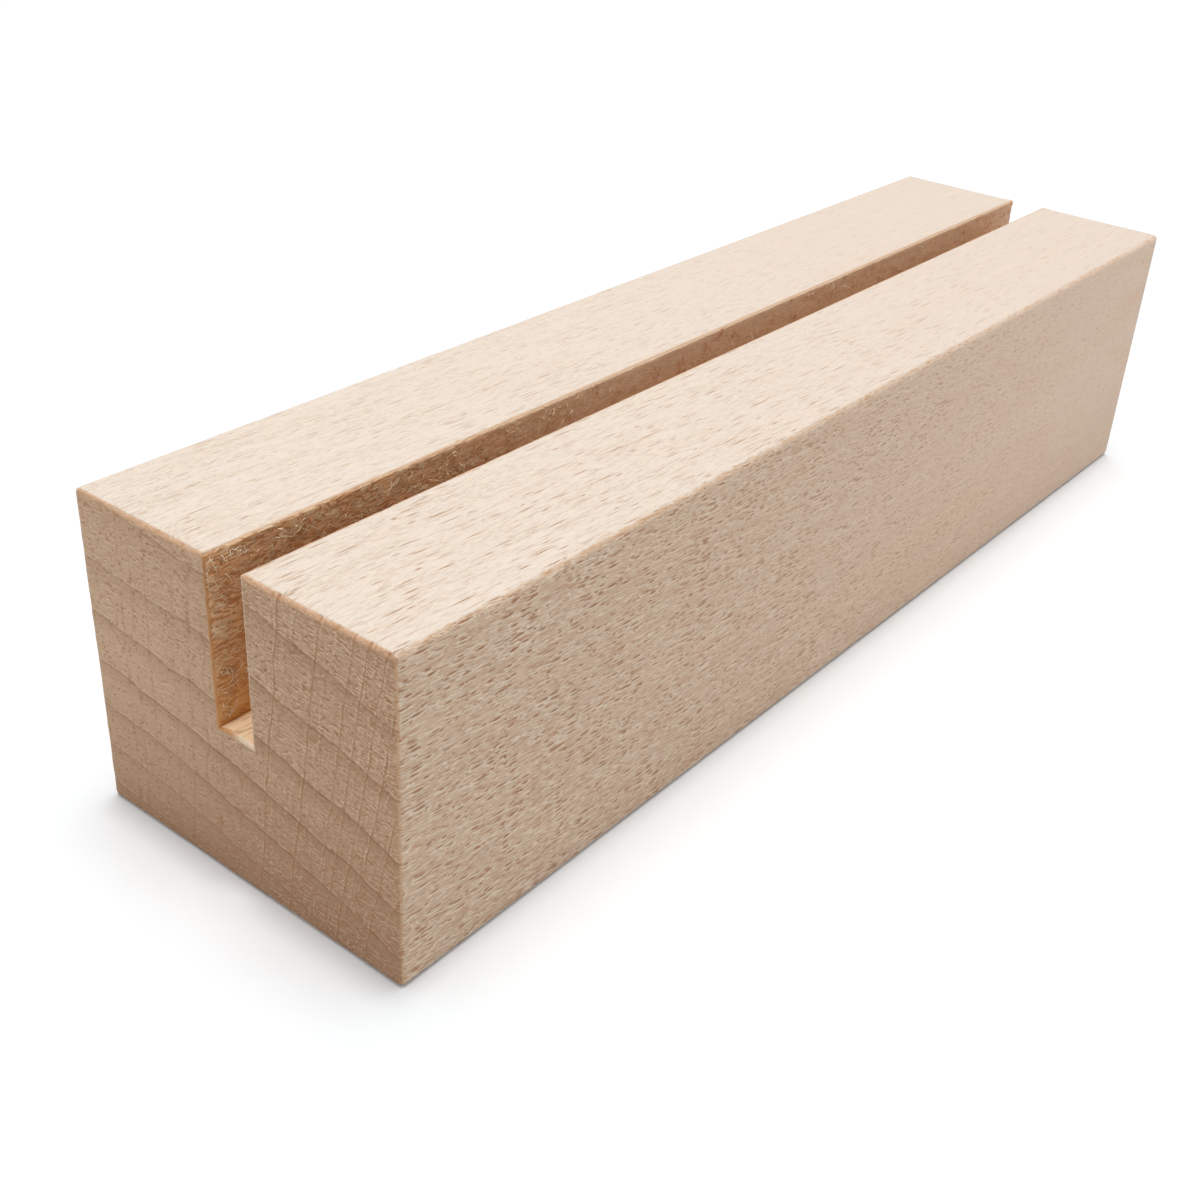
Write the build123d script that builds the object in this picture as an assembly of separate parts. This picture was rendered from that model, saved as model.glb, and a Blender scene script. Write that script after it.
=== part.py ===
from build123d import *
import os

# A photo block holder: one billet of solid beech with a straight groove sawn along its top.
# The lower edge of a print or a card stands in the groove, which is open at both ends.
# Millimetres. X runs along the block and its grain, Y across it, Z up from the face it rests on.
# The origin is the middle of that resting face.

# Planed billet
block_length = 150.0
block_width = 40.0
block_height = 34.0

# Groove along the middle, left by a saw whose teeth cut deeper at their two outer corners
groove_width = 4.5
groove_depth = 17.3
floor_crown = 0.4
cutter_overrun = 3.0

# Arrises taken off with fine paper
long_arris_radius = 0.6
end_arris_radius = 0.5
lip_radius = 0.3
mouth_radius = 0.2

# Places that follow from the sizes above
groove_side = groove_width / 2
floor_corner_height = block_height - groove_depth
floor_crown_height = floor_corner_height + floor_crown


def planed_billet():
    """The squared block with its long arrises eased first, then the outline of each end."""
    rests_on_base = (Align.CENTER, Align.CENTER, Align.MIN)
    billet = Box(block_length, block_width, block_height, align=rests_on_base)
    billet = fillet(billet.edges().filter_by(Axis.X), long_arris_radius)
    ends = billet.faces().filter_by(Axis.X)
    return fillet(ends.edges(), end_arris_radius)


def cutter_section():
    """Section of the groove, seen along X: upright walls, and a floor arched between two low corners."""
    above_block = block_height + cutter_overrun
    front_corner = (-groove_side, floor_corner_height)
    crown = (0, floor_crown_height)
    back_corner = (groove_side, floor_corner_height)
    floor = ThreePointArc(front_corner, crown, back_corner)
    back_top = (groove_side, above_block)
    front_top = (-groove_side, above_block)
    walls_and_top = Polyline(back_corner, back_top, front_top, front_corner)
    return make_face(Plane.YZ * (floor + walls_and_top))


def sawn_groove():
    """What the saw takes away, run out past both ends and above the top."""
    past_end = block_length / 2 + cutter_overrun
    return extrude(cutter_section(), past_end, both=True)


def beside_groove(edge):
    """True of an edge on the groove's walls or floor, and of none on the block's outside."""
    near_middle = abs(edge.center().Y) < groove_width
    return near_middle and edge.center().Z > floor_corner_height / 2


def groove_lips(block):
    """The two long edges where the groove's walls meet the top."""
    long_edges = block.edges().filter_by(Axis.X)
    return long_edges.filter_by(beside_groove).group_by(Axis.Z)[-1]


def groove_mouths(block):
    """The edges that outline the groove on the block's two end faces."""
    ends = block.faces().filter_by(Axis.X)
    return ends.edges().filter_by(beside_groove)


def grooved_block():
    """The billet with its groove cut and the groove's own edges eased."""
    block = planed_billet() - sawn_groove()
    block = fillet(groove_lips(block), lip_radius)
    return fillet(groove_mouths(block), mouth_radius)


os.makedirs("parts", exist_ok=True)
export_step(grooved_block(), "parts/grooved_block.step")
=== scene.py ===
import math
import random

import bpy
import numpy as np
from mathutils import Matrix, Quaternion, Vector, geometry, noise


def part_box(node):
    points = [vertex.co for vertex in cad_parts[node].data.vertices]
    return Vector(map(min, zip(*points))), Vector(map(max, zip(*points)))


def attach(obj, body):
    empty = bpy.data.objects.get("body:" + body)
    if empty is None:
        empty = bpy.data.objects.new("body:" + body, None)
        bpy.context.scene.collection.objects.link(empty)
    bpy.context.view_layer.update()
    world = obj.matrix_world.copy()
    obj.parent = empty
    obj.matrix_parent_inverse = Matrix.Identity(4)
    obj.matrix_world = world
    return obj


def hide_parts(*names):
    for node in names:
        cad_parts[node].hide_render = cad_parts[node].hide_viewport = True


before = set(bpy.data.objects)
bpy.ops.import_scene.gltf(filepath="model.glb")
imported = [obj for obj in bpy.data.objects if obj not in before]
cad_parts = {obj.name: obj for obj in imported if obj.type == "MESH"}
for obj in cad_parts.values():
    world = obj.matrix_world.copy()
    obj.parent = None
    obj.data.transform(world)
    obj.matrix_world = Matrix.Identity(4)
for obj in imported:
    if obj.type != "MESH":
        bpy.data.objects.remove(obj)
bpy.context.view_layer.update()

# A photo block holder of bare beech: one planed block with a sawn groove along its top.
# Lengths are in millimetres in the frame of the CAD model, and are written to Blender in metres.
MM = 0.001
NODE = "grooved_block"
node_low, node_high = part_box(NODE)
LENGTH, WIDTH, HEIGHT = ((high - low) / MM for low, high in zip(node_low, node_high))
HALF_LENGTH = LENGTH / 2
HALF_WIDTH = WIDTH / 2

# The groove and the eased arrises, as in the CAD source
GROOVE_WIDTH = 4.5
GROOVE_DEPTH = 17.3
FLOOR_CROWN = 0.4
LONG_ARRIS = 0.6
END_ARRIS = 0.5
LIP_ARRIS = 0.3
MOUTH_ARRIS = 0.2
GROOVE_SIDE = GROOVE_WIDTH / 2
FLOOR_HEIGHT = HEIGHT - GROOVE_DEPTH

# The tree: rings and rays centre on lines beside the block, and the grain leaves the long axis
RING_CENTRE_Y = 32.0
RAY_CENTRE_Y = 22.0
PITH_Z = -150.0
MEAN_RADIUS = 175.0
GRAIN_DROP = 0.05
GRAIN_DRIFT = 0.04
GRAIN_WANDER_ACROSS = 0.25
GRAIN_WANDER_UP = 0.2
TOP_RING_RADIUS = 184.3
RING_SPACING = 5.44
RING_UNEVEN = 1.6
RING_UNEVEN_SPAN = 27.2
RING_WAVE = 0.3
STRONG_RING = 3

# The rays that show as lines on the near end, as places round the tree at its mean radius,
# then where the broad ones get less broken, and how far beside a ray its painted highlight lies
BROAD_RAYS = (-27.3, -31.8, -35.4, -36.9, -38.7, -40.5, -42.6)
FAINT_RAYS = (-7.2, -8.9, -11.0, -14.6, -16.8, -18.8, -21.0, -23.9)
LESS_BROKEN = (-35.0, -32.0)
RAY_SHEEN = -0.2

# How far from its middle each kind of ray, and the painted highlight beside one, fades out
BROAD_RAY_EDGE = 0.15
FAINT_RAY_EDGE = 0.3
FINE_RAY_EDGE = 0.13
RAY_HIGHLIGHT_EDGE = 0.13

# Where along the block the groove's walls go from combed to dusty, and how much marks fade there
# and on the planed faces at the far end
WALL_DUSTY_FROM = -HALF_LENGTH + 12.0
WALL_DUSTY_TO = -HALF_LENGTH + 55.0
WALL_FADE = 0.72
FAR_FADE = 0.82

# How close together the block's mesh has its points
BASE_STEP = 2.0
SIDE_STEP = 0.9
LAND_STEP = 0.28
WALL_STEP = 0.33
FLOOR_STEP = 0.3
CAP_STEP = 0.55
ARC_PARTS = 5
STATION_STEPS = ((0.0, 0.35), (20.0, 0.6), (70.0, 1.0))
SHARP_ANGLE = math.radians(50)

# The flat map is a square of this size, with the two ends beside the unrolled sides
FLAT_MARGIN = 1.5
FLAT_SIZE = 189.0

# Wear and tool marks: how far under the CAD surface they go, how wide they are and where they end
PLANER_WAVE = 0.04
ARRIS_WEAR = 0.10
NOTCH_DEPTH = 0.22
NOTCH_WIDTH = 0.22
LIP_CHIP = 0.2
LIP_CHIPPED_TO = -HALF_LENGTH + 20
LIP_CLEAN_FROM = -HALF_LENGTH + 60
TORN_DEPTH = 0.16
END_FUZZ = 0.03
RING_STEP_DEPTH = 0.05
RING_STEP_WIDTH = 0.06

# How long the same marks are on each axis, and where in the noise each is taken from
PLANER_WAVES = ((24, 9, 9), 1.3)
ARRIS_DENTS = ((1.8, 1.1, 1.1), 5.1)
TORN_PATCHES = ((0.9, 1, 0.5), 9.7)
TORN_SPECKS = ((0.4, 1, 0.3), 3.9)
LONG_CHIPS = ((1.6, 6, 6), 21.4)
SHORT_CHIPS = ((0.5, 6, 6), 2.2)
END_SPECKS = ((1, 1.2, 0.9), 7.7)

# Torn fibres on the groove's walls, in clumps that lean one way
FIBRE_SEED = 11
CLUMP_COUNT = 820
CLUMP_SIZE = (2, 6)
CLUMP_SPREAD = 0.34
CLUMP_NEAR_SHARE = 0.7
CLUMP_NEAR_REACH = 55.0
CLUMP_NEAR_CROWDING = 1.5
CLUMP_TOP_CROWDING = 1.6
FIBRE_PARTS = 6
FIBRE_THICK = (0.035, 0.07)
FIBRE_LENGTH = (0.5, 1.9)
FIBRE_BEND = 0.9
FIBRE_WAVE = 0.8
FIBRE_SWAY = 0.7
FIBRE_SPLAY = 0.5
FIBRE_TIP = 0.35
FIBRE_TONE_SPREAD = 0.2
FIBRE_LIFT = 0.3
FIBRE_TURN = 0.7 * math.pi
FIBRE_UNEVEN = (0.6, 1.1)
FIBRE_ROOT = 0.05
BOX_CLEARANCE = 0.08
UNDER_LIP = 0.5


def spaced(start, stop, step):
    """Evenly spaced values from start up to stop, without stop itself."""
    count = max(1, math.ceil(abs(stop - start) / step))
    return [start + (stop - start) * i / count for i in range(count)]


def smooth_rise(value, start, stop):
    """0 before start and 1 after stop, with a smooth rise between."""
    share = np.clip((value - start) / (stop - start), 0, 1)
    return share * share * (3 - 2 * share)


def wobble(places, size, seed):
    """Smooth noise of about -1 to 1 at each place, with features as long as size on each axis."""
    scaled = places / np.array(size) + seed
    return np.array([noise.noise(Vector(place)) for place in scaled])


def section():
    """The block's outline seen along X, with the wood on its left.

    Each row has the y and z of a point and of the way out of the wood there."""
    half, top, side, low = HALF_WIDTH, HEIGHT, GROOVE_SIDE, FLOOR_HEIGHT
    corners = [
        ((-half, 0), LONG_ARRIS, BASE_STEP),
        ((half, 0), LONG_ARRIS, SIDE_STEP),
        ((half, top), LONG_ARRIS, LAND_STEP),
        ((side, top), LIP_ARRIS, WALL_STEP),
        ((side, low), 0, FLOOR_STEP),
        ((-side, low), 0, WALL_STEP),
        ((-side, top), LIP_ARRIS, LAND_STEP),
        ((-half, top), LONG_ARRIS, SIDE_STEP),
    ]
    rows = []
    for i, (corner, radius, step) in enumerate(corners):
        before = np.array(corners[i - 1][0])
        after, radius_after, _ = corners[(i + 1) % len(corners)]
        here = np.array(corner, float)
        way_in = (here - before) / np.linalg.norm(here - before)
        run = np.linalg.norm(after - here)
        way_out = (after - here) / run
        normal_in = np.array((way_in[1], -way_in[0]))
        normal_out = np.array((way_out[1], -way_out[0]))
        if radius:
            centre = here - way_in * radius + way_out * radius
            for part in range(ARC_PARTS):
                turn = math.pi / 2 * part / ARC_PARTS
                normal = normal_in * math.cos(turn) + way_in * math.sin(turn)
                rows.append((*(centre + normal * radius), *normal))
            straight = spaced(radius, run - radius_after, step)
        else:
            rows.append((*here, *((normal_in + normal_out) / math.sqrt(2))))
            straight = spaced(0, run - radius_after, step)[1:]
        rows += [(*(here + way_out * along), *normal_out) for along in straight]
    rows = np.array(rows)
    on_floor = (abs(rows[:, 0]) < side) & (abs(rows[:, 1] - low) < FLOOR_STEP)
    rows[on_floor, 1] += FLOOR_CROWN * (1 - (rows[on_floor, 0] / side) ** 2)
    return rows


def end_radii(rows):
    """Radius of the arris at the block's ends for each row: small round the groove."""
    from_groove = abs(rows[:, 0]) - GROOVE_SIDE
    share = smooth_rise(from_groove, LIP_ARRIS, 4 * END_ARRIS)
    radii = MOUTH_ARRIS + (END_ARRIS - MOUTH_ARRIS) * share
    return np.where(rows[:, 1] < FLOOR_HEIGHT / 2, END_ARRIS, radii)


def stations():
    """The cross sections from end to end, as (end, turn, x): turn runs round the end's arris."""
    quarter = [math.pi / 2 * part / ARC_PARTS for part in range(1, ARC_PARTS + 1)]
    starts = [-HALF_LENGTH + END_ARRIS] + [start - HALF_LENGTH for start, _ in STATION_STEPS[1:]]
    stops = starts[1:] + [HALF_LENGTH - END_ARRIS]
    straight = []
    for start, stop, (_, step) in zip(starts, stops, STATION_STEPS):
        straight += spaced(start, stop, step)
    straight.append(stops[-1])
    near = [(-1, turn, 0) for turn in reversed(quarter)]
    far = [(1, turn, 0) for turn in quarter]
    return near + [(0, 0, x) for x in straight] + far


def sides():
    """Places, ways out, faces and flat map of all but the two end faces."""
    rows = section()
    radii = end_radii(rows)
    count = len(rows)
    places, normals, along = [], [], []
    for end, turn, x in stations():
        inset = radii * (1 - math.cos(turn))
        at = end * (HALF_LENGTH - radii * (1 - math.sin(turn))) if end else np.full(count, x)
        places.append(np.column_stack((at, rows[:, :2] - rows[:, 2:] * inset[:, None])))
        out = np.full(count, end * math.sin(turn))
        normals.append(np.column_stack((out, rows[:, 2:] * math.cos(turn))))
        along.append(x if not end else end * (HALF_LENGTH - END_ARRIS + END_ARRIS * turn))
    steps = np.linalg.norm(np.roll(rows[:, :2], -1, axis=0) - rows[:, :2], axis=1)
    around = np.concatenate(((0,), np.cumsum(steps)))
    faces, flat = [], []
    for i in range(len(places) - 1):
        for j in range(count):
            k = (j + 1) % count
            faces.append((i * count + j, i * count + k, (i + 1) * count + k, (i + 1) * count + j))
            u0, u1, v0, v1 = along[i], along[i + 1], around[j], around[j + 1]
            flat.append(((u0, v0), (u0, v1), (u1, v1), (u1, v0)))
    return np.vstack(places), np.vstack(normals), faces, flat, count


def cap(outline, end):
    """Fills an end face inside its outline with even triangles, turned to look outwards."""
    rise = CAP_STEP * math.sin(math.pi / 3)
    clear = CAP_STEP / 2
    inside = []
    for row, z in enumerate(spaced(END_ARRIS + CAP_STEP, HEIGHT - END_ARRIS - clear, rise)):
        shift = CAP_STEP / 2 * (row % 2)
        for y in spaced(-HALF_WIDTH + END_ARRIS + CAP_STEP, HALF_WIDTH - END_ARRIS - CAP_STEP, CAP_STEP):
            in_groove = abs(y + shift) < GROOVE_SIDE + MOUTH_ARRIS + clear
            if not (in_groove and z > FLOOR_HEIGHT - MOUTH_ARRIS - clear):
                inside.append((y + shift, z))
    points = [Vector(point) for point in list(outline) + inside]
    made = geometry.delaunay_2d_cdt(points, [], [list(range(len(outline)))], 1, 1e-7)
    first = [sources[0] for sources in made[3]]
    triangles = [tuple(first[corner] for corner in face) for face in made[2]]
    if end < 0:
        triangles = [face[::-1] for face in triangles]
    return np.column_stack((np.full(len(inside), end * HALF_LENGTH), inside)), triangles


def closed_surface():
    """The whole block before wear: places, ways out, faces and flat map."""
    places, normals, faces, flat, count = sides()
    rim_starts = {-1: 0, 1: len(places) - count}
    for end, rim_start in rim_starts.items():
        rim = list(range(rim_start, rim_start + count))
        new, triangles = cap(places[rim][:, 1:], end)
        number = rim + list(range(len(places), len(places) + len(new)))
        places = np.vstack((places, new))
        normals = np.vstack((normals, np.tile((end, 0, 0), (len(new), 1))))
        beside = HALF_LENGTH + END_ARRIS * (math.pi / 2 - 1) + FLAT_MARGIN
        shift = HALF_WIDTH + (WIDTH + FLAT_MARGIN) * (end > 0)
        for triangle in triangles:
            face = tuple(number[corner] for corner in triangle)
            faces.append(face)
            flat.append(tuple((beside + places[i][2], shift + places[i][1]) for i in face))
    return places, normals, faces, flat


def around_tree(places, centre_y):
    """Radius, and place round the tree at its mean radius, of each place in the block."""
    y = places[:, 1] + GRAIN_DRIFT * (places[:, 0] + HALF_LENGTH) - centre_y
    z = places[:, 2] + GRAIN_DROP * (places[:, 0] + HALF_LENGTH) - PITH_Z
    return np.hypot(y, z), np.arctan2(y, z) * MEAN_RADIUS


def ring_phase(radius):
    """How far under the next ring's line a place lies, as a share of the ring."""
    uneven = RING_UNEVEN * np.sin((TOP_RING_RADIUS - radius) * math.pi / RING_UNEVEN_SPAN)
    return ((TOP_RING_RADIUS - radius - uneven) / RING_SPACING) % 1


def wear_depth(places, normals):
    """How far each place lies under the CAD surface: planer waves, worn arrises, tears and notches."""
    on_arris = (1 - abs(normals).max(axis=1)) / (1 - math.sqrt(0.5))
    depth = PLANER_WAVE * (0.5 + 0.5 * wobble(places, *PLANER_WAVES))
    depth += ARRIS_WEAR * on_arris * (0.5 + 0.7 * wobble(places, *ARRIS_DENTS)).clip(0)

    _, round_place = around_tree(places, RAY_CENTRE_Y)
    to_ray = np.min([abs(round_place - ray) for ray in BROAD_RAYS + FAINT_RAYS], axis=0)
    top_of_end = on_arris * (abs(normals[:, 0]) > 0.1) * (normals[:, 2] > 0.1)
    depth += NOTCH_DEPTH * top_of_end * np.exp(-(to_ray / NOTCH_WIDTH) ** 2)
    return depth + groove_depth(places, normals, on_arris) + end_depth(places, normals)


def groove_depth(places, normals, on_arris):
    """How deep the groove's walls are torn and its lips chipped."""
    x, y, z = places.T
    in_groove = (abs(y) < GROOVE_SIDE + LIP_ARRIS) & (z > FLOOR_HEIGHT / 2)
    on_wall = in_groove & (abs(normals[:, 1]) > 0.5)
    torn = 0.5 + 0.9 * wobble(places, *TORN_PATCHES) + 0.4 * wobble(places, *TORN_SPECKS)
    fading = 0.35 + 0.65 * smooth_rise(z, FLOOR_HEIGHT, HEIGHT - GROOVE_DEPTH / 3)
    under_lip = smooth_rise(HEIGHT - z, LIP_ARRIS, 4 * LIP_ARRIS)
    depth = TORN_DEPTH * on_wall * torn.clip(0, 1.4) * fading * under_lip
    lip = in_groove & (on_arris > 0.05) & (z > HEIGHT - 2 * LIP_ARRIS)
    chips = (wobble(places, *LONG_CHIPS) + 0.5 * wobble(places, *SHORT_CHIPS) - 0.2).clip(0)
    return depth + LIP_CHIP * lip * chips * (1 - smooth_rise(x, LIP_CHIPPED_TO, LIP_CLEAN_FROM))


def end_depth(places, normals):
    """How deep the end faces lie at their ring lines and in their fuzz."""
    on_end = abs(normals[:, 0]) > 0.9
    radius, _ = around_tree(places, RING_CENTRE_Y)
    to_line = np.minimum(ring_phase(radius), 1 - ring_phase(radius))
    depth = RING_STEP_DEPTH * np.exp(-(to_line / RING_STEP_WIDTH) ** 2)
    return on_end * (depth + END_FUZZ * (0.5 + 0.5 * wobble(places, *END_SPECKS)))


def add_piece(name, mesh, material):
    """Puts a mesh in the scene as a piece of beech that rides on the block's body."""
    mesh.materials.append(material)
    piece = bpy.data.objects.new(name, mesh)
    bpy.context.scene.collection.objects.link(piece)
    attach(piece, "root")
    return piece


def add_block(material):
    """The block with its wear, in place of the CAD node."""
    places, normals, faces, flat = closed_surface()
    worn = places - normals * wear_depth(places, normals)[:, None]
    mesh = bpy.data.meshes.new("beech_block")
    mesh.from_pydata((worn * MM).tolist(), [], faces)
    mesh.polygons.foreach_set("use_smooth", [True] * len(faces))
    mesh.set_sharp_from_angle(angle=SHARP_ANGLE)
    flat_map = mesh.uv_layers.new(name="OFBake")
    corners = np.array([corner for face in flat for corner in face])
    corners = (corners + (HALF_LENGTH + FLAT_MARGIN, FLAT_MARGIN)) / FLAT_SIZE
    flat_map.data.foreach_set("uv", corners.ravel())
    block = add_piece("beech_block", mesh, material)
    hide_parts(NODE)


def clump(rng):
    """Middle lines of a few fibres that have come loose together from a groove wall."""
    wall = rng.choice((-1, 1))
    if rng.random() < CLUMP_NEAR_SHARE:
        x = -HALF_LENGTH + BOX_CLEARANCE + CLUMP_NEAR_REACH * rng.random() ** CLUMP_NEAR_CROWDING
    else:
        x = rng.uniform(-HALF_LENGTH, HALF_LENGTH)
    z = HEIGHT - UNDER_LIP - (GROOVE_DEPTH - UNDER_LIP) * rng.random() ** CLUMP_TOP_CROWDING
    heading = rng.gauss(0, FIBRE_SWAY) + rng.choice((0, math.pi))
    bend = rng.gauss(0, FIBRE_BEND)
    wave = rng.gauss(0, FIBRE_WAVE)
    length = rng.uniform(*FIBRE_LENGTH)
    lines = []
    for _ in range(rng.randint(*CLUMP_SIZE)):
        start = (x + rng.gauss(0, CLUMP_SPREAD * 2), z + rng.gauss(0, CLUMP_SPREAD))
        turned = heading + rng.gauss(0, FIBRE_SPLAY)
        step = length * rng.uniform(*FIBRE_UNEVEN) / FIBRE_PARTS
        lines.append(fibre_line(rng, wall, start, turned, bend, wave, step))
    return lines


def fibre_line(rng, wall, start, heading, bend, wave, step):
    """Middle points of one fibre, waving along a wall and lifting away from it."""
    x, z = start
    lift = FIBRE_LIFT * rng.random() ** 1.5
    phase = rng.uniform(0, 2 * math.pi)
    points = []
    for part in range(FIBRE_PARTS + 1):
        share = part / FIBRE_PARTS
        away = lift * math.sin(FIBRE_TURN * share)
        points.append((x, wall * (GROOVE_SIDE + FIBRE_ROOT - away), z))
        towards = heading + bend * share + wave * math.sin(phase + 2 * math.pi * share)
        x += math.cos(towards) * step
        z += math.sin(towards) * step
    return np.array(points)


def inside_block(points):
    """True where a fibre stays within the block's length and under its top."""
    low_x, high_x = -HALF_LENGTH + BOX_CLEARANCE, HALF_LENGTH - BOX_CLEARANCE
    fits = (points[:, 0] > low_x) & (points[:, 0] < high_x)
    fits &= (points[:, 2] < HEIGHT - UNDER_LIP) & (points[:, 2] > FLOOR_HEIGHT + FLOOR_CROWN)
    return bool(fits.all())


def tube(points, thick, start):
    """A four-sided tube that tapers to its loose end, with its points numbered from start."""
    ways = np.gradient(points, axis=0)
    ways /= np.linalg.norm(ways, axis=1)[:, None]
    across = np.cross(ways, (0, 1, 0))
    across /= np.linalg.norm(across, axis=1)[:, None]
    other = np.cross(ways, across)
    taper = thick * np.linspace(1, FIBRE_TIP, len(points))[:, None]
    ways_out = np.stack((across, other, -across, -other), axis=1)
    places = (points[:, None] + ways_out * taper[:, None]).reshape(-1, 3)
    last = start + 4 * (len(points) - 1)
    faces = [(start + 3, start + 2, start + 1, start), (last, last + 1, last + 2, last + 3)]
    for ring in range(start, last, 4):
        for side in range(4):
            after = (side + 1) % 4
            faces.append((ring + side, ring + after, ring + 4 + after, ring + 4 + side))
    return places, faces


def add_fibres(material):
    """The torn fibres as one mesh, each with a tone of its own."""
    rng = random.Random(FIBRE_SEED)
    places, faces, tones = [], [], []
    for _ in range(CLUMP_COUNT):
        clump_tone = rng.random()
        for points in clump(rng):
            thick = rng.uniform(*FIBRE_THICK)
            tone = clump_tone + rng.gauss(0, FIBRE_TONE_SPREAD)
            if inside_block(points):
                tube_places, tube_faces = tube(points, thick, len(tones))
                places.append(tube_places)
                faces += tube_faces
                tones += [tone] * len(tube_places)
    mesh = bpy.data.meshes.new("groove_fibres")
    mesh.from_pydata((np.vstack(places) * MM).tolist(), [], faces)
    mesh.polygons.foreach_set("use_smooth", [True] * len(faces))
    mesh.attributes.new("tone", "FLOAT", "POINT").data.foreach_set("value", tones)
    add_piece("groove_fibres", mesh, material)


class Field:
    """A value that varies over a surface: one output of a shader node, open to plain arithmetic."""

    def __init__(self, socket):
        self.socket = socket

    def node(self, kind):
        return self.socket.node.id_data.nodes.new(kind)

    def math(self, operation, *others):
        node = self.node("ShaderNodeMath")
        node.operation = operation
        for slot, value in zip(node.inputs, (self, *others)):
            fill(slot, value)
        return Field(node.outputs[0])

    def __add__(self, other):
        return self.math("ADD", other)

    def __sub__(self, other):
        return self.math("SUBTRACT", other)

    def __mul__(self, other):
        return self.math("MULTIPLY", other)

    def __truediv__(self, other):
        return self.math("DIVIDE", other)

    def __neg__(self):
        return self.math("MULTIPLY", -1)

    def __abs__(self):
        return self.math("ABSOLUTE")

    def rise(self, start, stop):
        """0 before start and 1 after stop, with a smooth rise between. It falls if start is later."""
        node = self.node("ShaderNodeMapRange")
        node.interpolation_type = "SMOOTHSTEP"
        for slot, value in zip(node.inputs, (self, start, stop, 0.0, 1.0)):
            fill(slot, value)
        return Field(node.outputs[0])

    def parts(self):
        """The three parts of a vector or a colour."""
        node = self.node("ShaderNodeSeparateXYZ")
        fill(node.inputs[0], self)
        return [Field(output) for output in node.outputs]

    def between(self, first, second):
        """A colour that goes from the first to the second as this share goes from 0 to 1."""
        node = self.node("ShaderNodeMix")
        node.data_type = "RGBA"
        fill(node.inputs["Factor"], self)
        slots = [slot for slot in node.inputs if slot.type == "RGBA"]
        fill(slots[0], first)
        fill(slots[1], second)
        return Field(next(output for output in node.outputs if output.type == "RGBA"))

    def blend(self, other, share):
        """This colour with another laid over it by a share."""
        return share.between(self, other)


def fill(slot, value):
    """Links a field to a node's input, or sets the input to a plain value."""
    if isinstance(value, Field):
        slot.id_data.links.new(value.socket, slot)
    elif isinstance(value, tuple) and slot.type == "RGBA":
        slot.default_value = (*value, 1)
    else:
        slot.default_value = value


def vector(x, y, z):
    """Three fields as one vector."""
    node = x.node("ShaderNodeCombineXYZ")
    for slot, value in zip(node.inputs, (x, y, z)):
        fill(slot, value)
    return Field(node.outputs[0])


def distance(*parts):
    """The length of a vector given by its parts."""
    total = parts[0] * parts[0]
    for part in parts[1:]:
        total = total + part * part
    return total.math("SQRT")


def grain_noise(place, size, detail=2.0, rough=0.5, twist=0.0):
    """Noise of about -1 to 1, whose features are as long as size on each axis."""
    node = place[0].node("ShaderNodeTexNoise")
    fill(node.inputs["Vector"], vector(*(part / length for part, length in zip(place, size))))
    node.inputs["Scale"].default_value = 1
    node.inputs["Detail"].default_value = detail
    node.inputs["Roughness"].default_value = rough
    node.inputs["Distortion"].default_value = twist
    return (Field(node.outputs[0]) - 0.5) * 4


def cells(place, spacing):
    """Scattered cells: how far a place lies from its cell's middle on each axis, and three chances."""
    node = place[0].node("ShaderNodeTexVoronoi")
    fill(node.inputs["Vector"], vector(*(part / step for part, step in zip(place, spacing))))
    node.inputs["Scale"].default_value = 1
    middle = Field(node.outputs["Position"]).parts()
    away = [part - centre * step for part, centre, step in zip(place, middle, spacing)]
    return away, Field(node.outputs["Color"]).parts()


def linear(red, green, blue):
    """A colour written as screen values of 0 to 255, in Blender's linear light."""
    shares = [value / 255 for value in (red, green, blue)]
    return tuple(v / 12.92 if v < 0.04045 else ((v + 0.055) / 1.055) ** 2.4 for v in shares)


# Colours, written as screen values, and how shiny and how rough the surfaces are
# The long grain's colour on the top is a painted lit copy, and on the sides a painted shaded, warmer copy
STRAW_TOP_LIT = linear(244, 230, 216)
STRAW_TOP_LIT_FAR = linear(236, 220, 206)
STRAW_SIDE_SHADED = linear(222, 192, 164)
# The sides' colour at the far end, paler: painted light
STRAW_FAR_LIT = linear(246, 220, 199)
# Darker colour low on the sides: painted shade
STRAW_LOW_SHADE = linear(206, 178, 152)
STRAW_WARM = linear(236, 204, 174)
STRAW_PALE = linear(250, 226, 202)
TEAR_BROWN = linear(196, 145, 104)
PIT_BROWN = linear(168, 110, 68)
RAY_BROWN = linear(184, 138, 98)
LENS_PINK = linear(216, 172, 142)
# Pale for curls, and painted highlight beside torn strokes and under pores
CURL_PALE_AND_HIGHLIGHT = linear(255, 236, 212)
END_TAN = linear(222, 188, 157)
# The end's deeper tone, for random blotches and as painted shade towards the front and the bottom
END_DEEP_TONE_AND_SHADE = linear(178, 139, 108)
END_LATE = linear(180, 141, 109)
END_LINE = linear(170, 118, 78)
RING_BROWN = linear(142, 100, 68)
# Pale for worm lines, and painted highlight on hairs, above ring lines and beside rays
END_PALE_AND_HIGHLIGHT = linear(246, 215, 184)
ARRIS_PEACH = linear(230, 184, 146)
ARRIS_TAN = linear(222, 180, 140)
ARRIS_TICK = linear(186, 124, 82)
# Dark brown painted on the bottom arris as contact shade
BASE_CONTACT_SHADE = linear(130, 98, 72)
MOUTH_CREAM = linear(252, 230, 202)
MOUTH_TAN = linear(220, 160, 104)
WALL_BROWN = linear(255, 203, 152)
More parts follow.
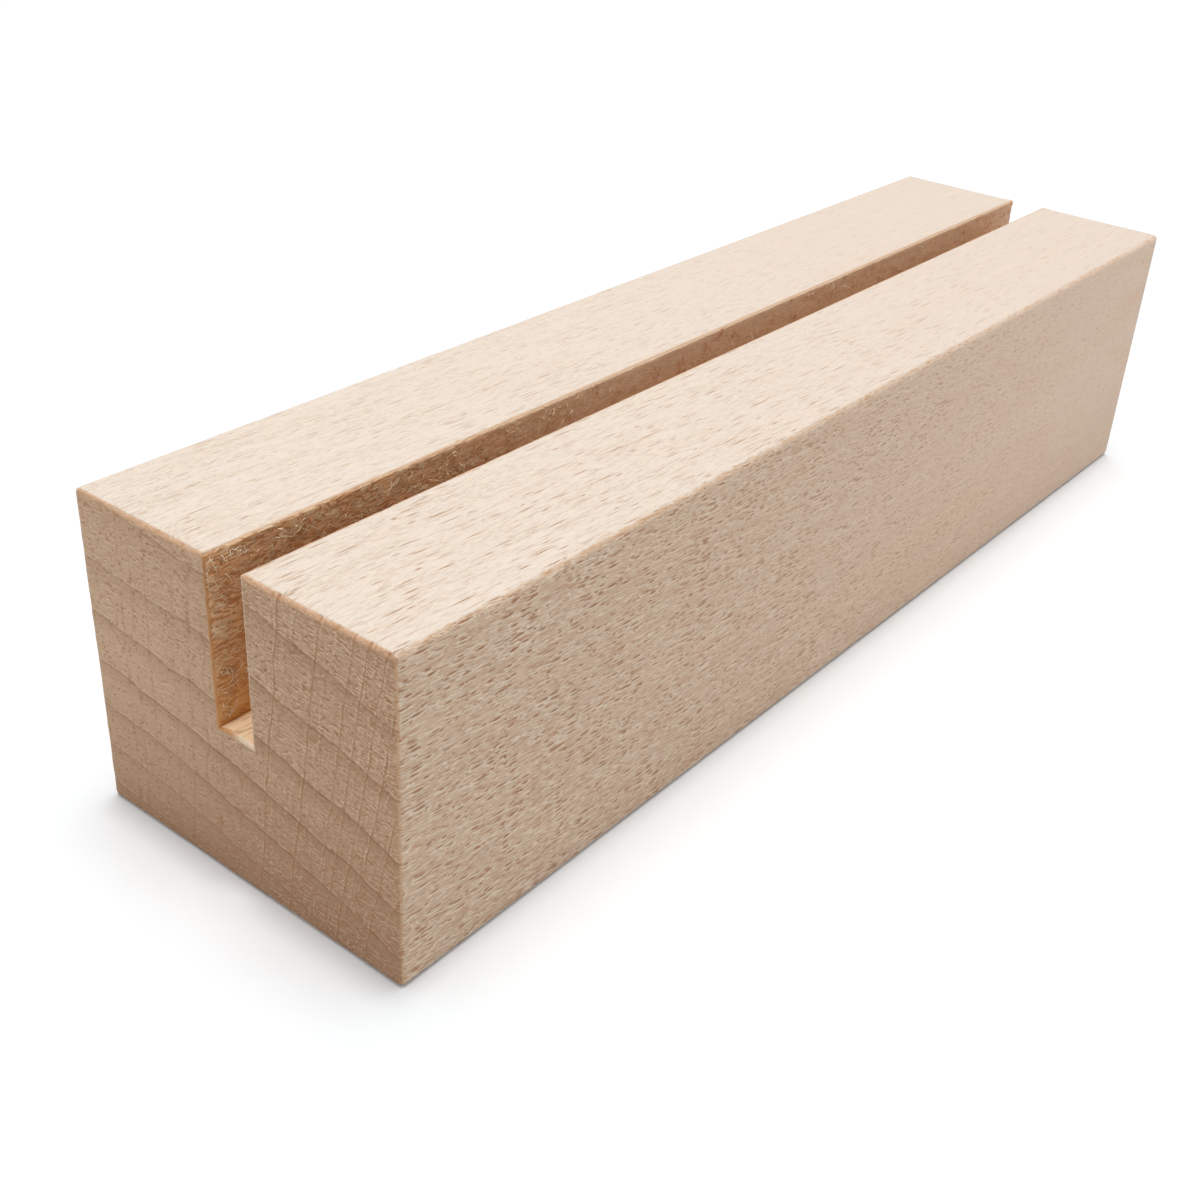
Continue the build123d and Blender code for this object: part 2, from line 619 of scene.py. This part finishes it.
# The walls' colour deep in the groove, darker and warmer: painted shade
WALL_GOLD_SHADE = linear(222, 170, 106)
WALL_DARK = linear(180, 116, 70)
WALL_PALE = linear(255, 236, 198)
WALL_DUSTY = linear(255, 222, 190)
WALL_RUSSET = linear(222, 158, 112)
FLOOR_PEACH = linear(242, 212, 172)
FIBRE_TAN = linear(232, 186, 140)
FIBRE_CREAM = linear(255, 238, 206)
WOOD_SHINE = 0.25
BLOCK_ROUGHNESS = 0.7
FIBRE_ROUGHNESS = 0.6
ROUGHNESS_CHANGE = 0.05

# The wood's marks as noises: how long they are on each axis, then their detail, roughness and twist.
# Torn strokes and hairs get a painted highlight where the same noise a little to one side is lower.
RAGGED = ((0.7, 0.5, 0.5), 2.0)
GRAIN_WANDER = ((26, 12, 12), 1.0)
RING_WAVES = ((6, 5, 9), 2.0)
BROAD_TONES = ((45, 5, 5),)
STREAKS = ((12, 0.8, 0.8), 3.0)
TORN_STROKES = ((1.2, 0.24, 0.24), 2.5, 0.6, 0.5)
STROKE_SHIFT = 0.08
SIDE_CURLS = ((1.9, 0.34, 0.34), 1.0, 0.5, 0.9)
FIBROUS_LINES = ((3.0, 0.2, 0.2), 2.0, 0.6, 0.3)
END_PATCHES = ((3, 2.2, 2.2), 3.0)
END_HAIRS = ((0.5, 0.8, 0.24), 2.0, 0.65, 0.8)
HAIR_SHIFT = (0.06, 0.1)
END_WORMS = ((1.0, 1.2, 0.42), 1.0, 0.5, 0.8)
RAY_BENDS = ((3, 1.5, 2.6), 2.0)
WALL_STREAKS = ((6, 0.7, 0.7), 3.0)
WALL_PATCHES = ((2.6, 1.0, 1.2), 2.0)
WALL_FLOW = ((3.2, 1.0, 0.8), 1.5, 0.5, 0.8)
WALL_CURLS = ((1.3, 1.0, 1.0), 1.0, 0.5, 1.6)
WALL_WOOL = ((0.8, 1.0, 0.26), 3.0, 0.65, 1.4)
WALL_MOTTLE = ((1.5, 1.0, 1.2), 3.0, 0.65)
FLOOR_STROKES = ((3.0, 0.32, 0.32), 2.0, 0.6, 0.3)
SMALL_TICKS = ((2, 0.5, 2), 2.0)
SIDE_NICKS = ((2, 2, 0.6), 2.0)
RUBBED_ARRIS = ((1.6, 1, 1), 2.0)
FIBRE_GRAIN = ((0.3, 0.05, 0.05),)

# Lines drawn from noises: how often worms and strands turn, and how thick curls are
WORM_TURNS = 5.0
STRAND_TURNS = 8.0
SIDE_CURL_THICK = 0.25
WALL_CURL_THICK = 0.2

# Scattered marks: how far apart they lie on each axis, and for pores also their length and width
PORES = ((1.6, 0.33, 0.33), 0.6, 0.13)
WIDE_PORES = ((2.4, 0.5, 0.5), 0.9, 0.17)
SIDE_RAYS = (5.0, 0.34, 9.0)
SIDE_RAY_WIDTH = 0.11
SIDE_RAY_REACH = 4.5
END_SPOTS = (2.0, 0.7, 0.45)
FINE_RAYS = (400.0, 0.9, 5.0)

# How far the marks stand out of the surface or lie in it
TEAR_RELIEF = 0.016
FIBROUS_RELIEF = 0.006
SIDE_CURL_RELIEF = 0.03
PORE_RELIEF = 0.012
SIDE_RAY_DEPTH = 0.018
HAIR_RELIEF = 0.03
WORM_RELIEF = 0.01
RING_DEPTH = 0.02
BROAD_RAY_DEPTH = 0.015
SPOT_DEPTH = 0.02
WOOL_RELIEF = 0.02
STRAND_RELIEF = 0.03
WALL_CURL_RELIEF = 0.05
FLOOR_RELIEF = 0.01
FIBRE_GRAIN_RELIEF = 0.003


def place_in_block(tree):
    """Where a point of the surface lies in the block, as three fields in millimetres."""
    node = tree.nodes.new("ShaderNodeTexCoord")
    return tuple(part / MM for part in Field(node.outputs["Object"]).parts())


def ragged_noise(place):
    """The fine noise that keeps borders and shine from being even."""
    return grain_noise(place, *RAGGED)


class Spot:
    """Where a point of the surface lies, in the block and in the tree, as fields in millimetres."""

    def __init__(self, tree):
        x, y, z = place_in_block(tree)
        self.x = x
        self.y = y
        self.z = z
        self.here = (x, y, z)
        wander = grain_noise(self.here, *GRAIN_WANDER)
        self.across = y + (x + HALF_LENGTH) * GRAIN_DRIFT + wander * GRAIN_WANDER_ACROSS
        self.up = z + (x + HALF_LENGTH) * GRAIN_DROP + wander * GRAIN_WANDER_UP
        self.grain = (x, self.across, self.up)
        from_pith = self.up - PITH_Z
        self.radius = distance(self.across - RING_CENTRE_Y, from_pith)
        self.round_tree = (self.across - RAY_CENTRE_Y).math("ARCTAN2", from_pith) * MEAN_RADIUS
        below_top_ring = -(self.radius - TOP_RING_RADIUS)
        uneven = (below_top_ring * (math.pi / RING_UNEVEN_SPAN)).math("SINE") * RING_UNEVEN
        wavy = grain_noise(self.here, *RING_WAVES) * RING_WAVE
        rings = (below_top_ring - uneven + wavy) / RING_SPACING
        self.ring_phase = rings.math("FRACT")
        turn = rings.math("FLOOR") * (math.pi / STRONG_RING) - math.pi / 2
        self.ring_strength = turn.math("SINE") * 0.22 + 0.78
        just_past = self.ring_phase.rise(0.05, 0.01)
        self.ring_line = just_past.math("MAXIMUM", self.ring_phase.rise(0.98, 1.0))

        self.in_rings = (x, self.round_tree, self.radius)
        self.ragged = ragged_noise(self.here)
        self.towards_far_end = x.rise(-HALF_LENGTH, HALF_LENGTH)
        self.towards_front = y.rise(14.0, -12.0)
        self.busy = self.towards_far_end * -FAR_FADE + 1
        self.from_end = -(abs(x) - HALF_LENGTH)
        self.from_side = -(abs(y) - HALF_WIDTH)
        self.from_top = -(z - HEIGHT)
        self.from_middle = abs(y)
        self.on_end = (self.from_end + self.ragged * 0.04).rise(0.3, 0.15)
        self.on_top = self.from_top.rise(0.5, 0.25) * (self.from_side + self.ragged * 0.1).rise(0.15, 0.5)
        self.off_top = -(self.on_top - 1)
        over_floor = z.rise(FLOOR_HEIGHT - 0.3, FLOOR_HEIGHT - 0.1)
        between_walls = self.from_middle.rise(GROOVE_SIDE + 0.28, GROOVE_SIDE + 0.1)
        past_mouth = (self.from_end + self.ragged * 0.04).rise(0.06, 0.2)
        self.in_groove = between_walls * over_floor * self.from_top.rise(0.02, 0.25) * past_mouth
        self.on_groove_floor = self.in_groove * self.from_middle.rise(GROOVE_SIDE - 0.02, GROOVE_SIDE - 0.1)


def curls(noise_value, thick):
    """Thin wavy lines where a noise passes through zero."""
    return abs(noise_value).rise(thick, thick * 0.2)


def pores(spot, spacing, length, width):
    """Short dark strokes along the grain, and the pale rim under each, a painted highlight."""
    away, chance = cells(spot.grain, spacing)
    along = away[0] / ((chance[0] + 0.4) * length)
    off = distance(along, distance(away[1], away[2]) / width)
    deep = chance[1].rise(0.1, 0.7)
    rim = off.rise(0.8, 1.2) * off.rise(1.9, 1.3) * away[2].rise(0.0, -0.1)
    return off.rise(1.0, 0.4) * deep, rim * deep


def straw_tone(spot, streak):
    """The colour of the long grain: paler on the top as painted light and darker and warmer on the sides as
    painted shade, paler towards the far end of the sides as painted light, darker low on the sides as
    painted shade, and warmer or paler in streaks.
    """
    broad = grain_noise(spot.grain, *BROAD_TONES)
    # The sides pale towards the far end: painted light
    colour = spot.towards_far_end.between(STRAW_SIDE_SHADED, STRAW_FAR_LIT)
    # The top takes the painted lit copy of the long grain's colour, the sides the painted shaded one
    colour = colour.blend(spot.towards_far_end.between(STRAW_TOP_LIT, STRAW_TOP_LIT_FAR), spot.on_top)
    # The sides darken towards the bottom: painted shade
    colour = colour.blend(STRAW_LOW_SHADE, spot.z.rise(20.0, 0.0) * spot.off_top * 0.35)
    colour = colour.blend(STRAW_WARM, (broad + 0.3).rise(0, 1.2) * (spot.off_top * 0.35 + 0.1))
    return colour.blend(STRAW_PALE, (streak + 0.2).rise(0, 1.2) * (spot.off_top * -0.2 + 0.4))


def torn_strokes(spot, colour, tear, streak):
    """The colour with torn strokes, fibrous lines and pale curls along the grain, painted highlights beside
    the strokes, and their relief.
    """
    off_top, busy = spot.off_top, spot.busy
    painted_highlight = tear - grain_noise((spot.x, spot.across, spot.up + STROKE_SHIFT), *TORN_STROKES)
    curl = curls(grain_noise(spot.grain, *SIDE_CURLS), SIDE_CURL_THICK) * streak.rise(-0.7, 0.5)
    fibrous = grain_noise(spot.grain, *FIBROUS_LINES)
    combed = (busy * 0.3 + 0.1) * (spot.towards_front * 0.9 + 0.55)
    colour = colour.blend(TEAR_BROWN, (-tear).rise(0, 0.7) * (off_top * 0.75 + 0.1) * busy)
    colour = colour.blend(TEAR_BROWN, (-fibrous).rise(0.1, 1.1) * spot.on_top * combed)
    # Painted highlight on the pale side of each torn stroke
    colour = colour.blend(CURL_PALE_AND_HIGHLIGHT, painted_highlight.rise(0.2, 0.8) * (off_top * 0.4 + 0.3) * busy)
    colour = colour.blend(CURL_PALE_AND_HIGHLIGHT, curl * (off_top * 0.5 + 0.4) * busy)
    relief = tear * TEAR_RELIEF + fibrous * FIBROUS_RELIEF + curl * SIDE_CURL_RELIEF
    return colour, relief * busy


def open_pores(spot, colour):
    """The colour with narrow and wide pores and the painted highlight on the rim under each, and their
    relief.
    """
    pit, rim = pores(spot, *PORES)
    wide_pit, wide_rim = pores(spot, *WIDE_PORES)
    pit = pit.math("MAXIMUM", wide_pit) * spot.busy
    rim = rim.math("MAXIMUM", wide_rim) * spot.busy
    # Painted highlight on the rim under each pore
    colour = colour.blend(CURL_PALE_AND_HIGHLIGHT, rim * (spot.off_top * 0.6 + 0.3))
    colour = colour.blend(PIT_BROWN, pit * (spot.off_top * 0.65 + 0.15))
    return colour, (rim - pit) * PORE_RELIEF


def side_rays(spot, colour, tear):
    """The colour with rays, brown lines on the top and pink flecks on the sides, and their depth."""
    away, chance = cells((spot.x, spot.round_tree + tear * 0.02, spot.radius), SIDE_RAYS)
    along = away[0] / (chance[0] * 2.0 + 0.4)
    ray = distance(along, away[1] / SIDE_RAY_WIDTH, away[2] / SIDE_RAY_REACH).rise(1.0, 0.2)
    seen_flat = chance[2].rise(0.8, 0.9) * 0.75
    seen_end_on = (chance[1] + spot.towards_front * 0.25).rise(0.3, 0.85) * (spot.busy * 0.8 + 0.15)
    colour = colour.blend(LENS_PINK, ray * seen_flat * spot.off_top * spot.busy)
    strong = spot.towards_front * 0.35 + 0.65
    colour = colour.blend(RAY_BROWN, ray * seen_end_on * spot.on_top * strong)
    return colour, ray * spot.on_top * SIDE_RAY_DEPTH


def planed_side(spot):
    """Colour and relief of the long grain: its tone, torn strokes, pores, and rays."""
    streak = grain_noise(spot.grain, *STREAKS)
    tear = grain_noise(spot.grain, *TORN_STROKES)
    colour, stroke_height = torn_strokes(spot, straw_tone(spot, streak), tear, streak)
    colour, pore_height = open_pores(spot, colour)
    colour, ray_depth = side_rays(spot, colour, tear)
    return colour, stroke_height + pore_height - ray_depth


def end_fuzz(spot, colour, fuzz, fuzzy):
    """The end's colour with torn hairs, each with a painted highlight, and worm-like lines round the rings,
    and their relief.
    """
    beside = (spot.x, spot.round_tree + HAIR_SHIFT[0], spot.radius + HAIR_SHIFT[1])
    painted_highlight = fuzz - grain_noise(beside, *END_HAIRS)
    worm = (grain_noise(spot.in_rings, *END_WORMS) * WORM_TURNS).math("SINE")
    colour = colour.blend(END_LINE, (-fuzz).rise(0.0, 0.9) * fuzzy)
    colour = colour.blend(END_LINE, (-worm).rise(0.2, 1.0) * fuzzy * 0.25)
    # Painted highlight on the lit side of each hair
    colour = colour.blend(END_PALE_AND_HIGHLIGHT, painted_highlight.rise(0.1, 0.7) * fuzzy)
    colour = colour.blend(END_PALE_AND_HIGHLIGHT, worm.rise(0.3, 1.0) * (fuzz + 0.2).rise(0, 0.8) * fuzzy * 0.5)
    return colour, (fuzz * HAIR_RELIEF + worm * WORM_RELIEF) * fuzzy


def end_rays(spot, fuzz, patchy):
    """How strongly broad, faint and fine rays show on the end, and the painted highlight beside them."""
    bent = grain_noise(spot.here, *RAY_BENDS) * 0.14 + spot.ragged * 0.07 + fuzz * 0.03
    broken = (patchy + fuzz * 0.9 + 0.4).rise(-0.1, 1.1)
    dotted = (patchy * 0.7 + fuzz * 1.4 + spot.round_tree.rise(*LESS_BROKEN) * 0.3 + 0.4).rise(-0.1, 1.1)
    broad = ray_gap(spot.round_tree + bent, BROAD_RAYS).rise(BROAD_RAY_EDGE, 0.03) * dotted
    sheen = ray_gap(spot.round_tree + bent + RAY_SHEEN, BROAD_RAYS)
    broad_ray_highlight = sheen.rise(RAY_HIGHLIGHT_EDGE, 0.0) * broken
    faint = ray_gap(spot.round_tree + bent * 2, FAINT_RAYS).rise(FAINT_RAY_EDGE, 0.0) * broken
    away, chance = cells((spot.x, spot.round_tree + bent * 2, spot.radius), FINE_RAYS)
    shown = chance[0] * (spot.y.rise(8.0, -10.0) * 0.65 + 0.35) * (fuzz + 0.6).rise(0, 1)
    fine = abs(away[1]).rise(FINE_RAY_EDGE, 0.0) * shown
    fine_ray_highlight = abs(away[1] + RAY_SHEEN).rise(RAY_HIGHLIGHT_EDGE, 0.0) * shown
    return broad, faint, fine, broad_ray_highlight.math("MAXIMUM", fine_ray_highlight)


def end_grain(spot):
    """Colour and relief of the sawn ends: growth rings, rays that cross them, pores and fuzz, with painted
    shade towards the front and the bottom, and painted highlights beside ring lines and rays.
    """
    soft_left = spot.y.rise(14.0, -8.0) * 0.45 + 0.55
    late = spot.ring_phase.rise(0.42, 0.0) * spot.ring_strength * soft_left
    line = spot.ring_line * spot.ring_strength
    highlight_above_line = spot.ring_phase.rise(0.93, 0.98) - line
    patchy = grain_noise(spot.here, *END_PATCHES)
    fuzz = grain_noise(spot.in_rings, *END_HAIRS)
    fuzzy = (spot.y.rise(10.0, -8.0) * 0.3 + spot.z.rise(8.0, 32.0) * 0.35 + 0.32) * (patchy * 0.4 + 1)
    away, chance = cells(spot.here, END_SPOTS)
    speck = distance(away[1] * 0.6, away[2]).rise(0.15, 0.05) * chance[0].rise(0.62, 0.9)
    broad_ray, faint_ray, fine_ray, ray_highlight = end_rays(spot, fuzz, patchy)

    # Painted shade: the end darkens towards the front and the bottom
    painted_end_shade = spot.y.rise(22.0, -14.0) * 0.4 + spot.z.rise(20.0, 2.0) * 0.55 + spot.z.rise(6.0, 0.0) * 0.3
    colour = painted_end_shade.between(END_TAN, END_DEEP_TONE_AND_SHADE)
    colour = colour.blend(END_DEEP_TONE_AND_SHADE, (-patchy).rise(0.0, 1.4) * 0.4)
    colour, fuzz_height = end_fuzz(spot, colour, fuzz, fuzzy)
    colour = colour.blend(END_LATE, late * (patchy * 0.25 + 0.75))
    # Painted highlight just above each ring line
    colour = colour.blend(END_PALE_AND_HIGHLIGHT, highlight_above_line * (fuzz + 0.3).rise(0, 0.6) * 0.35)
    # Painted highlight beside the rays
    colour = colour.blend(END_PALE_AND_HIGHLIGHT, ray_highlight * fuzzy * 0.6)
    colour = colour.blend(RING_BROWN, line * soft_left * (patchy * 0.3 + 0.55))
    for mark, share in ((fine_ray, 0.5), (faint_ray, 0.4), (broad_ray, 0.75), (speck, 0.7)):
        colour = colour.blend(END_LINE, mark * share)
    return colour, fuzz_height - line * RING_DEPTH - broad_ray * BROAD_RAY_DEPTH - speck * SPOT_DEPTH


def ray_gap(round_tree, rays):
    """How far a place round the tree lies from the nearest of some rays."""
    gap = abs(round_tree - rays[0])
    for ray in rays[1:]:
        gap = gap.math("MINIMUM", abs(round_tree - ray))
    return gap


def sawn_groove(spot):
    """Colour and relief of the groove's torn walls, darker and warmer deeper down as painted shade, and the
    brighter floor under them.
    """
    share_up = spot.z.rise(FLOOR_HEIGHT, HEIGHT - GROOVE_DEPTH / 4)
    dusty = spot.x.rise(WALL_DUSTY_FROM, WALL_DUSTY_TO)
    combed = dusty * -WALL_FADE + 1
    streak = grain_noise(spot.grain, *WALL_STREAKS)
    patch = grain_noise(spot.here, *WALL_PATCHES)
    strand = (grain_noise(spot.here, *WALL_FLOW) * STRAND_TURNS).math("SINE")
    curl = curls(grain_noise(spot.here, *WALL_CURLS), WALL_CURL_THICK) * (patch + 0.5).rise(0, 0.8)
    wool = grain_noise(spot.here, *WALL_WOOL)
    mottle = grain_noise(spot.here, *WALL_MOTTLE)
    # Painted shade: the walls darken towards the groove's floor
    colour = share_up.between(WALL_GOLD_SHADE, WALL_BROWN)
    colour = colour.blend(WALL_DUSTY, dusty * (share_up * 0.3 + 0.65))
    colour = colour.blend(WALL_RUSSET, (-mottle).rise(0.1, 1.0) * dusty * 0.8)
    stained = (streak * 0.6 - wool * 0.6).rise(0.0, 1.2) * (share_up * 0.3 + 0.3)
    colour = colour.blend(WALL_DARK, stained * combed)
    shown = (patch + 0.8).rise(0, 1.4) * combed
    colour = colour.blend(WALL_DARK, (-strand).rise(0.0, 0.9) * (share_up * 0.2 + 0.45) * combed)
    colour = colour.blend(WALL_PALE, strand.rise(0.2, 0.9) * shown * (share_up * 0.5 + 0.25))
    colour = colour.blend(WALL_PALE, curl * (share_up * 0.4 + 0.15) * combed)
    strokes = grain_noise(spot.grain, *FLOOR_STROKES)
    floor = ((strokes + streak * 0.3).rise(0, 1.0) * 0.75).between(FLOOR_PEACH, PIT_BROWN)
    colour = colour.blend(floor, spot.on_groove_floor)
    relief = wool * WOOL_RELIEF + strand * STRAND_RELIEF + curl * WALL_CURL_RELIEF
    height = relief * (share_up * 0.8 + 0.2) * combed
    return colour, height * -(spot.on_groove_floor - 1) + strokes * spot.on_groove_floor * FLOOR_RELIEF


def tinted_arrises(spot, colour):
    """The colour with the warmer tint of the arrises, with the notches where rays run out, and with painted
    contact shade on the bottom arris.
    """
    near_end = (spot.from_end + spot.ragged * 0.05).rise(0.42, 0.25)
    top_band = (spot.from_top + spot.ragged * 0.14).rise(0.65, 0.25) * near_end
    side_band = (spot.from_side + spot.ragged * 0.08).rise(0.36, 0.08) * near_end
    colour = colour.blend(ARRIS_PEACH, top_band * 0.75)
    colour = colour.blend(ARRIS_TAN, side_band * 0.7)
    tick = (ray_gap(spot.round_tree, BROAD_RAYS) + spot.ragged * 0.06).rise(0.18, 0.03)
    small_tick = grain_noise(spot.here, *SMALL_TICKS).rise(0.4, 0.9)
    ticks = tick * 0.7 + small_tick * 0.5
    colour = colour.blend(ARRIS_TICK, (top_band * ticks).math("MINIMUM", 0.8))
    nick = grain_noise(spot.here, *SIDE_NICKS).rise(0.3, 0.7).math("MAXIMUM", spot.ring_line)
    colour = colour.blend(ARRIS_TICK, side_band * nick * 0.7)
    # Painted contact shade: the bottom arris darkens where the block stands on the floor
    contact_shade = (spot.z + spot.ragged * 0.06).rise(0.5, 0.15)
    colour = colour.blend(BASE_CONTACT_SHADE, contact_shade * 0.7)
    worn = (grain_noise(spot.here, *RUBBED_ARRIS) + 1.0).rise(0.0, 1.2) * 0.35 + 0.4
    long_arris = (spot.from_top + spot.from_side + spot.ragged * 0.06).rise(0.5, 0.34) * worn
    lip = (spot.from_middle - GROOVE_SIDE + spot.from_top + spot.ragged * 0.06).rise(0.5, 0.3)
    return colour.blend(ARRIS_TAN, long_arris.math("MAXIMUM", lip * 0.7))


def tinted_mouth(spot, colour):
    """The colour with the groove's edge on the end face, cream on one side and orange on the other."""
    near_end = (spot.from_end + spot.ragged * 0.08).rise(0.36, 0.2)
    from_wall = (spot.from_middle - GROOVE_SIDE).math("MAXIMUM", -spot.z + FLOOR_HEIGHT)
    over_floor = spot.z.rise(FLOOR_HEIGHT - 1, FLOOR_HEIGHT)
    mouth = (from_wall + spot.ragged * 0.1).rise(0.32, 0.12) * near_end * over_floor
    tint = spot.y.rise(-1.0, 1.0).between(MOUTH_CREAM, MOUTH_TAN)
    return colour.blend(tint, mouth * 0.85)


def new_surface(name, shine):
    """A material and its principled shader."""
    material = bpy.data.materials.new(name)
    material.use_nodes = True
    shader = material.node_tree.nodes["Principled BSDF"]
    shader.inputs["Specular IOR Level"].default_value = shine
    return material, shader


def add_bump(shader, height):
    """Relief from a height field in millimetres."""
    node = height.node("ShaderNodeBump")
    node.inputs["Strength"].default_value = 1
    node.inputs["Distance"].default_value = MM
    fill(node.inputs["Height"], height)
    fill(shader.inputs["Normal"], Field(node.outputs["Normal"]))


def beech():
    """Bare beech: planed sides, sawn ends, tinted arrises and a torn groove."""
    material, shader = new_surface("bare_beech", WOOD_SHINE)
    spot = Spot(material.node_tree)
    side_colour, side_height = planed_side(spot)
    end_colour, end_height = end_grain(spot)
    groove_colour, groove_height = sawn_groove(spot)
    colour = side_colour.blend(end_colour, spot.on_end)
    colour = tinted_arrises(spot, colour)
    colour = tinted_mouth(spot, colour.blend(groove_colour, spot.in_groove))
    height = side_height * -(spot.on_end - 1) + end_height * spot.on_end
    height = height * -(spot.in_groove - 1) + groove_height * spot.in_groove
    fill(shader.inputs["Base Color"], colour)
    fill(shader.inputs["Roughness"], spot.ragged * ROUGHNESS_CHANGE + BLOCK_ROUGHNESS)
    add_bump(shader, height)
    return material


def torn_fibre():
    """Loose beech fibres, from tan to cream, each in its own tone."""
    material, shader = new_surface("torn_beech_fibre", WOOD_SHINE)
    place = place_in_block(material.node_tree)
    ragged = ragged_noise(place)
    attribute = material.node_tree.nodes.new("ShaderNodeAttribute")
    attribute.attribute_name = "tone"
    tone = Field(attribute.outputs["Fac"]) + ragged * 0.15
    fill(shader.inputs["Base Color"], tone.rise(0.1, 1.0).between(FIBRE_TAN, FIBRE_CREAM))
    fill(shader.inputs["Roughness"], ragged * ROUGHNESS_CHANGE + FIBRE_ROUGHNESS)
    add_bump(shader, grain_noise(place, *FIBRE_GRAIN) * FIBRE_GRAIN_RELIEF)
    return material


# Stage: a floor that is white to the camera and paler than grey to the block, and two lamps overhead
FLOOR_SIZE = 6.0
FLOOR_BOUNCE = (0.8, 0.8, 0.8)
FLOOR_WHITE = (0.94, 0.975, 1.0)
FLOOR_LIFT = 0.07
WHITE = (1.0, 1.0, 1.0)
SKY_STRENGTH = 0.42
SUN_TOWARDS = (0.05, 0.02, 1.0)
SUNS = {"broad_sun": (1.25, math.radians(28)), "narrow_sun": (0.6, math.radians(6))}


def seen_directly(tree):
    """1 for the rays that show a background: from the camera, mirrored or through glass."""
    path = tree.nodes.new("ShaderNodeLightPath")
    seen = Field(path.outputs["Is Camera Ray"])
    for other in ("Is Glossy Ray", "Is Transmission Ray"):
        seen = seen.math("MAXIMUM", Field(path.outputs[other]))
    return seen


def add_floor():
    """A plain white floor that keeps the block's shadow."""
    half = FLOOR_SIZE / 2
    corners = [(-half, -half, 0), (half, -half, 0), (half, half, 0), (-half, half, 0)]
    mesh = bpy.data.meshes.new("floor")
    mesh.from_pydata(corners, [], [(0, 1, 2, 3)])
    material, shader = new_surface("floor_white", 0)
    seen = seen_directly(material.node_tree)
    fill(shader.inputs["Base Color"], seen.between(FLOOR_BOUNCE, FLOOR_WHITE))
    fill(shader.inputs["Emission Color"], WHITE)
    fill(shader.inputs["Emission Strength"], seen * FLOOR_LIFT)
    mesh.materials.append(material)
    floor = bpy.data.objects.new("floor", mesh)
    bpy.context.scene.collection.objects.link(floor)


def add_lights():
    """A white surround, and two lamps high above the block: one for soft and one for close shadows."""
    world = bpy.data.worlds.new("studio")
    bpy.context.scene.world = world
    world.use_nodes = True
    background = world.node_tree.nodes["Background"]
    fill(background.inputs["Color"], WHITE)
    seen = seen_directly(world.node_tree)
    fill(background.inputs["Strength"], seen * (1 - SKY_STRENGTH) + SKY_STRENGTH)
    for name, (strength, softness) in SUNS.items():
        sun = bpy.data.lights.new(name, "SUN")
        sun.energy = strength
        sun.angle = softness
        lamp = bpy.data.objects.new(name, sun)
        lamp.rotation_mode = "QUATERNION"
        lamp.rotation_quaternion = Vector(SUN_TOWARDS).to_track_quat("Z", "Y")
        bpy.context.scene.collection.objects.link(lamp)


# Camera: an eye point and an aim point fitted to the block's corners in the picture
EYE = Vector((-142.36, -89.75, 96.85))
AIM = Vector((-35.25, -8.62, 17.0))
ROLL = math.radians(3.363)
SENSOR = 36.0
FOCAL_SHARE = 1.2844


def add_camera():
    """A camera at the picture's place, with its focal length as a share of the frame's width."""
    data = bpy.data.cameras.new("camera")
    data.sensor_width = SENSOR
    data.lens = SENSOR * FOCAL_SHARE
    data.clip_start = 0.005
    data.clip_end = 50
    camera = bpy.data.objects.new("camera", data)
    bpy.context.scene.collection.objects.link(camera)
    camera.location = EYE * MM
    camera.rotation_mode = "QUATERNION"
    level = (AIM - EYE).to_track_quat("-Z", "Y")
    camera.rotation_quaternion = level @ Quaternion((0, 0, 1), ROLL)
    bpy.context.scene.camera = camera


add_camera()
add_floor()
add_lights()
add_block(beech())
add_fibres(torn_fibre())

bpy.context.scene.view_settings.view_transform = "Standard"
